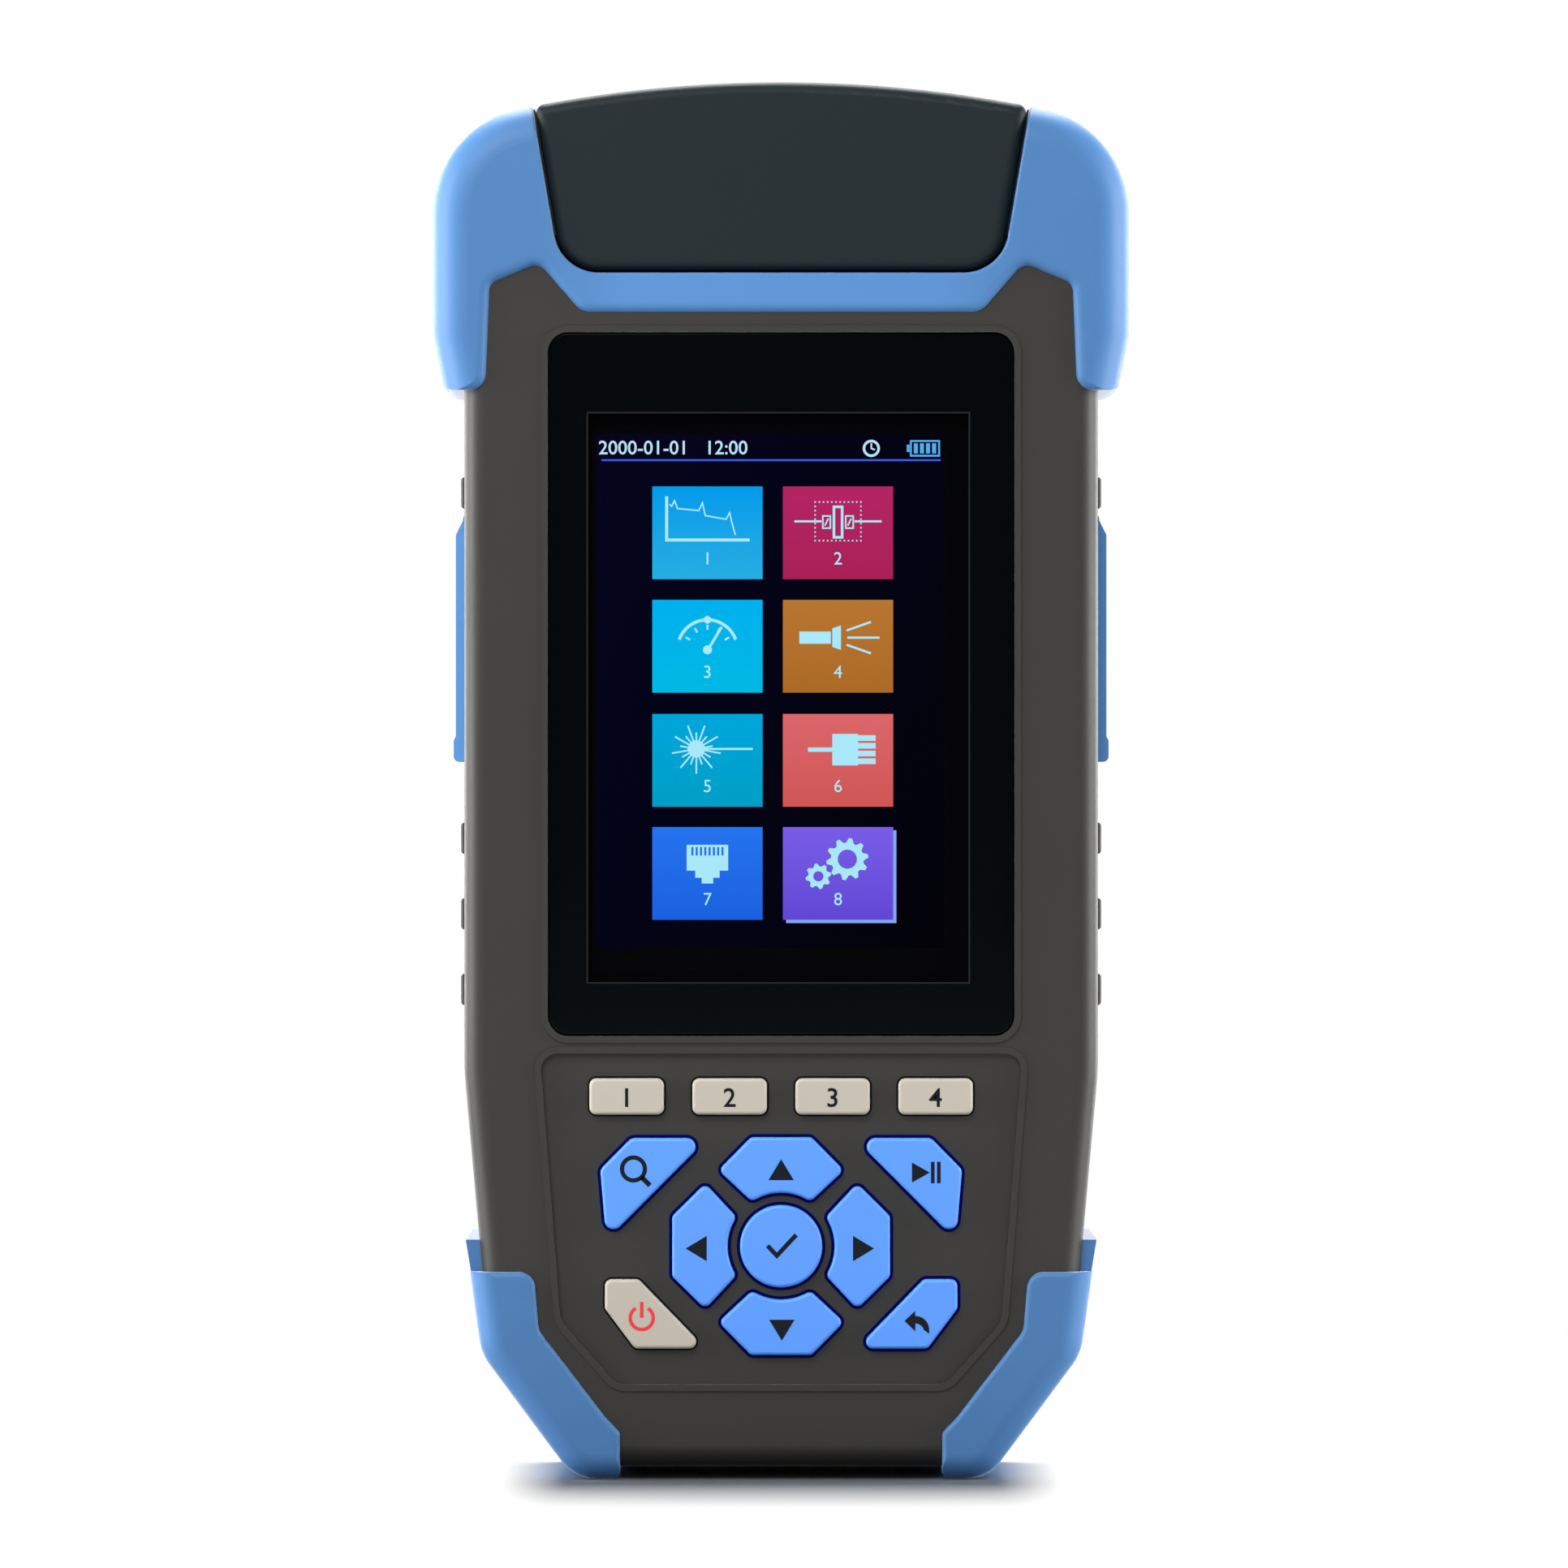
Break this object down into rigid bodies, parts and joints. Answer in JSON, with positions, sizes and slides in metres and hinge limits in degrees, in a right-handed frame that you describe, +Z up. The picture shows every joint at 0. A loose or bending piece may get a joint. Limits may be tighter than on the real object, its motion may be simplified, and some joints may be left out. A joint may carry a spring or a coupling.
{
  "type": "optical time domain reflectometer",
  "caption": "Handheld fibre tester with colour screen, keypad, blue rubber corner bumpers and a hinged black cover over its optical ports.",
  "frame": {"origin": "middle of the footprint, on the surface the object stands on", "axes": "+Z up along the height, the display faces -Y, X is the left-right direction"},
  "size_m": [0.0974, 0.046, 0.1951],
  "materials": {
    "case_grey": "fine moulded texture",
    "seal_black": "matt",
    "bumper_blue": "satin moulded rubber",
    "cover_black": "fine moulded texture",
    "steel": "bright",
    "lens": "gloss with a black printed edge",
    "lcd": "colour screen",
    "mat_grey": "silicone",
    "board_green": "solder mask",
    "socket_black": "moulded",
    "plated_steel": "nickel plated",
    "module_metal": "satin",
    "plate_grey": "black anodised",
    "plated_brass": "nickel plated",
    "zirconia": "polished",
    "cover_blue": "satin moulded rubber",
    "battery_wrap": "shrink wrap",
    "key_beige": "satin",
    "key_blue": "satin"
  },
  "bodies": {
    "case": {"front_shell": "case_grey", "rear_shell": "case_grey", "case_seal": "seal_black", "top_bumper": "bumper_blue", "bottom_bumper_right": "bumper_blue", "bottom_bumper_left": "bumper_blue", "cover_hinge_pin": "steel", "display_lens": "lens", "lens_gasket": "seal_black", "lcd_module": "lcd", "keypad_mat": "mat_grey", "keypad_board": "board_green", "main_board": "board_green", "rj45_jack_right": "socket_black", "rj45_jack_left": "socket_black", "usb_a_socket": "plated_steel", "usb_c_socket": "plated_steel", "optical_module": "module_metal", "bay_floor": "case_grey", "port_plate": "plate_grey", "otdr_port": "plated_brass", "power_meter_port": "plated_brass", "fault_locator_port": "plated_brass", "alignment_sleeves": "zirconia", "battery_pack": "battery_wrap", "battery_door": "case_grey", "buzzer": "socket_black", "case_screws": "steel", "board_screws": "steel", "battery_door_screws": "steel"},
    "top_cover": {"top_cover": "cover_black"},
    "left_port_cover": {"left_port_cover": "cover_blue"},
    "right_port_cover": {"right_port_cover": "cover_blue"},
    "key_ok": {"key_ok": "key_blue"},
    "key_f1": {"key_f1": "key_beige"},
    "key_f2": {"key_f2": "key_beige"},
    "key_f3": {"key_f3": "key_beige"},
    "key_f4": {"key_f4": "key_beige"},
    "key_up": {"key_up": "key_blue"},
    "key_right": {"key_right": "key_blue"},
    "key_down": {"key_down": "key_blue"},
    "key_left": {"key_left": "key_blue"},
    "key_zoom": {"key_zoom": "key_blue"},
    "key_run": {"key_run": "key_blue"},
    "key_power": {"key_power": "key_beige"},
    "key_back": {"key_back": "key_blue"}
  },
  "joints": [
    {"name": "cover_swing", "type": "hinge", "parent": "case", "child": "top_cover", "pos_m": [0, 0.0163, 0.1868], "axis": [-1, 0, 0], "range_deg": [0, 100]},
    {"name": "right_port_cover_swing", "type": "hinge", "parent": "case", "child": "right_port_cover", "pos_m": [0.0436, 0, 0.1342], "axis": [0, -1, 0], "range_deg": [0, 90], "stiffness_Nm_per_rad": 0.01},
    {"name": "left_port_cover_swing", "type": "hinge", "parent": "case", "child": "left_port_cover", "pos_m": [-0.0436, 0, 0.1342], "axis": [0, 1, 0], "range_deg": [0, 90], "stiffness_Nm_per_rad": 0.01},
    {"name": "key_ok_press", "type": "slide", "parent": "case", "child": "key_ok", "axis": [0, 1, 0], "range_m": [0, 0.0008], "stiffness_N_per_m": 400},
    {"name": "key_f1_press", "type": "slide", "parent": "case", "child": "key_f1", "axis": [0, 1, 0], "range_m": [0, 0.0008], "stiffness_N_per_m": 400},
    {"name": "key_f2_press", "type": "slide", "parent": "case", "child": "key_f2", "axis": [0, 1, 0], "range_m": [0, 0.0008], "stiffness_N_per_m": 400},
    {"name": "key_f3_press", "type": "slide", "parent": "case", "child": "key_f3", "axis": [0, 1, 0], "range_m": [0, 0.0008], "stiffness_N_per_m": 400},
    {"name": "key_f4_press", "type": "slide", "parent": "case", "child": "key_f4", "axis": [0, 1, 0], "range_m": [0, 0.0008], "stiffness_N_per_m": 400},
    {"name": "key_up_press", "type": "slide", "parent": "case", "child": "key_up", "axis": [0, 1, 0], "range_m": [0, 0.0008], "stiffness_N_per_m": 400},
    {"name": "key_right_press", "type": "slide", "parent": "case", "child": "key_right", "axis": [0, 1, 0], "range_m": [0, 0.0008], "stiffness_N_per_m": 400},
    {"name": "key_down_press", "type": "slide", "parent": "case", "child": "key_down", "axis": [0, 1, 0], "range_m": [0, 0.0008], "stiffness_N_per_m": 400},
    {"name": "key_left_press", "type": "slide", "parent": "case", "child": "key_left", "axis": [0, 1, 0], "range_m": [0, 0.0008], "stiffness_N_per_m": 400},
    {"name": "key_zoom_press", "type": "slide", "parent": "case", "child": "key_zoom", "axis": [0, 1, 0], "range_m": [0, 0.0008], "stiffness_N_per_m": 400},
    {"name": "key_run_press", "type": "slide", "parent": "case", "child": "key_run", "axis": [0, 1, 0], "range_m": [0, 0.0008], "stiffness_N_per_m": 400},
    {"name": "key_power_press", "type": "slide", "parent": "case", "child": "key_power", "axis": [0, 1, 0], "range_m": [0, 0.0008], "stiffness_N_per_m": 400},
    {"name": "key_back_press", "type": "slide", "parent": "case", "child": "key_back", "axis": [0, 1, 0], "range_m": [0, 0.0008], "stiffness_N_per_m": 400}
  ]
}
